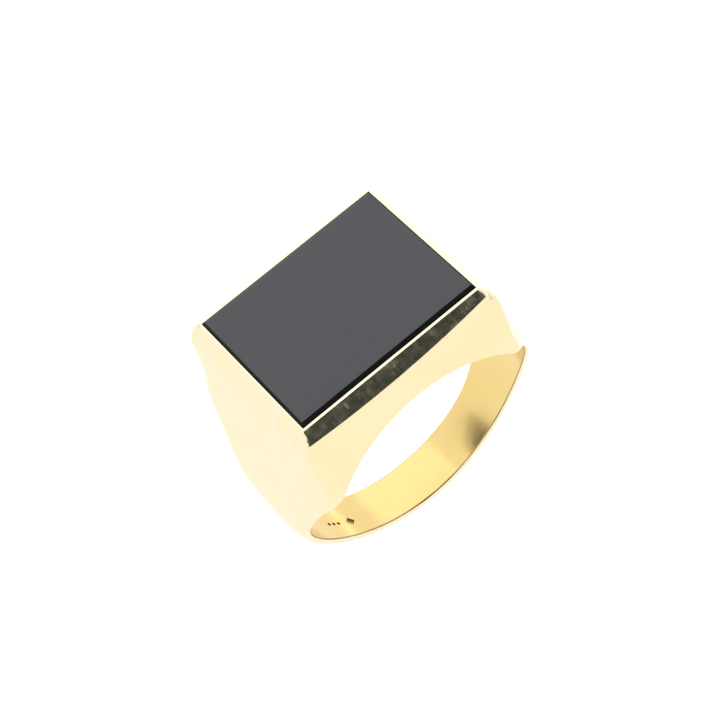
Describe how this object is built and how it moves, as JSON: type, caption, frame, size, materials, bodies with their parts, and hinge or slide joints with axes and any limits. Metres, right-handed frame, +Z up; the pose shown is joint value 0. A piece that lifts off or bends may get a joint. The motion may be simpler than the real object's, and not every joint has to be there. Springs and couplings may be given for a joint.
{
  "type": "signet ring",
  "caption": "Gold signet ring with a flat bevelled rectangular black stone in a boxed head, sloping strips, tall cheeks and shoulders tapering to a slim band.",
  "frame": {"origin": "centre of the finger hole, midway between the two side faces", "axes": "+X across the finger along the stone's long side, +Y along the finger, +Z up through the stone"},
  "size_m": [0.0218, 0.0156, 0.0248],
  "materials": {
    "onyx": "polished",
    "cement": "matte",
    "gold_polished": "polished",
    "gold_satin": "satin brushed",
    "gold_inner": "worn polish"
  },
  "bodies": {
    "root": {"onyx_plate": "onyx", "stone_cement": "cement", "stone_seat": "gold_inner", "bezel_collar": "gold_polished", "front_cheek": "gold_polished", "rear_cheek": "gold_polished", "left_shoulder": "gold_satin", "right_shoulder": "gold_satin", "finger_liner": "gold_inner", "shank": "gold_inner"}
  },
  "joints": []
}
